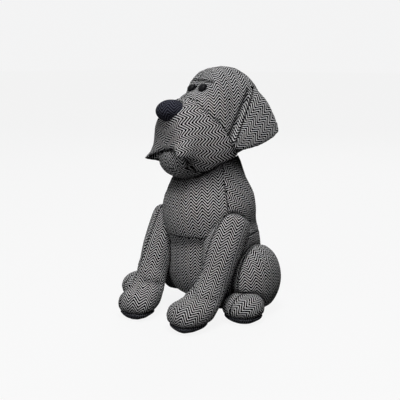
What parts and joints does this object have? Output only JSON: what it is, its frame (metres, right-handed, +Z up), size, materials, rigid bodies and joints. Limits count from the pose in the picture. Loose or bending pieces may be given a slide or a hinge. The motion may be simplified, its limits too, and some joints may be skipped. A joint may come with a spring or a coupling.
{
  "type": "weighted fabric door stop",
  "caption": "Weighted herringbone tweed door stop in the form of a sitting dog with a turned head, long flews and dark soles.",
  "frame": {"origin": "middle of the flat base panel, on the surface that the door stop stands on", "axes": "+Z up, -Y towards the dog's front, +X towards the dog's left"},
  "size_m": [0.2068, 0.2141, 0.2978],
  "materials": {
    "tweed": "black and off-white herringbone wool tweed, matt with a slight nap",
    "nose_tweed": "dark navy and grey herringbone tweed, matt",
    "sole_cloth": "plain dark cloth, matt",
    "eye": "glossy black domed plastic"
  },
  "bodies": {
    "root": {"torso": "tweed", "base_panel": "sole_cloth", "tail": "tweed", "foreleg_left": "tweed", "foresole_left": "sole_cloth", "thigh_left": "tweed", "hind_foot_left": "tweed", "hindsole_left": "sole_cloth", "foreleg_right": "tweed", "foresole_right": "sole_cloth", "thigh_right": "tweed", "hind_foot_right": "tweed", "hindsole_right": "sole_cloth", "head": "tweed", "muzzle": "tweed", "nose": "nose_tweed", "eye_left": "eye", "eye_right": "eye", "ear_left": "tweed", "ear_right": "tweed"}
  },
  "joints": []
}
